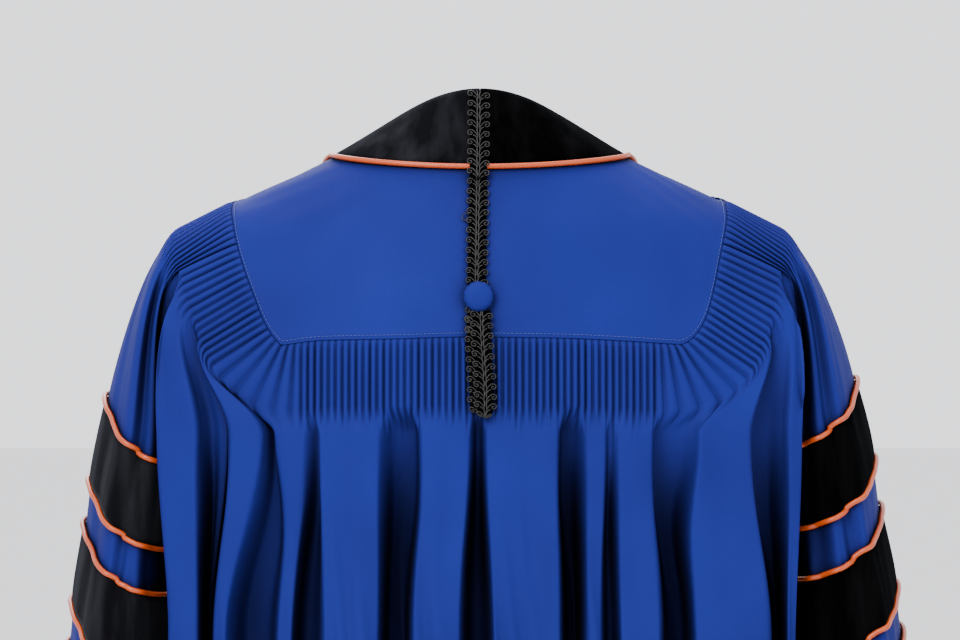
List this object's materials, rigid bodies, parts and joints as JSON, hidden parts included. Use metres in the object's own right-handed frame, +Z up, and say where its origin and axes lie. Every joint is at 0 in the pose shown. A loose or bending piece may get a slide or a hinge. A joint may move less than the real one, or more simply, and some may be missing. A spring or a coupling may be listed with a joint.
{
  "type": "graduation gown",
  "caption": "Worn doctoral gown with a plain yoke, fluted back, bell sleeves with velvet bars, velvet neck band and facings, piping, braid, button and front zip.",
  "frame": {"origin": "middle of the neck opening, level with the shoulder line beside the neck", "axes": "+X to the wearer's left, -Y to the wearer's front, +Z up"},
  "size_m": [0.697, 0.478, 1.3276],
  "materials": {
    "blue_cloth": "matt twill weave",
    "button_cloth": "the gown's cloth over a domed button",
    "velvet": "black velvet with nap",
    "piping": "satin piping",
    "braid": "gimp braid",
    "zip_tape": "woven tape with a moulded chain",
    "zip_metal": "plain metal"
  },
  "bodies": {
    "gown": {"yoke": "blue_cloth", "back_panel": "blue_cloth", "front_left": "blue_cloth", "sleeve_left": "blue_cloth", "neck_band_left": "velvet", "facing_left": "velvet", "piping_facing_left": "piping", "bar_left_1": "velvet", "piping_left_1_top": "piping", "piping_left_1_bottom": "piping", "bar_left_2": "velvet", "piping_left_2_top": "piping", "piping_left_2_bottom": "piping", "bar_left_3": "velvet", "piping_left_3_top": "piping", "piping_left_3_bottom": "piping", "front_right": "blue_cloth", "sleeve_right": "blue_cloth", "neck_band_right": "velvet", "facing_right": "velvet", "piping_facing_right": "piping", "bar_right_1": "velvet", "piping_right_1_top": "piping", "piping_right_1_bottom": "piping", "bar_right_2": "velvet", "piping_right_2_top": "piping", "piping_right_2_bottom": "piping", "bar_right_3": "velvet", "piping_right_3_top": "piping", "piping_right_3_bottom": "piping", "piping_neck": "piping", "braid": "braid", "braid_loop": "braid", "button": "button_cloth", "zip_tape": "zip_tape", "zip_slider": "zip_metal"},
    "zip_pull": {"zip_pull": "zip_metal"}
  },
  "joints": [
    {"name": "zip_pull_swing", "type": "hinge", "parent": "gown", "child": "zip_pull", "pos_m": [0, -0.10826, -0.128], "axis": [-1, 0, 0], "range_deg": [0, 155]}
  ]
}
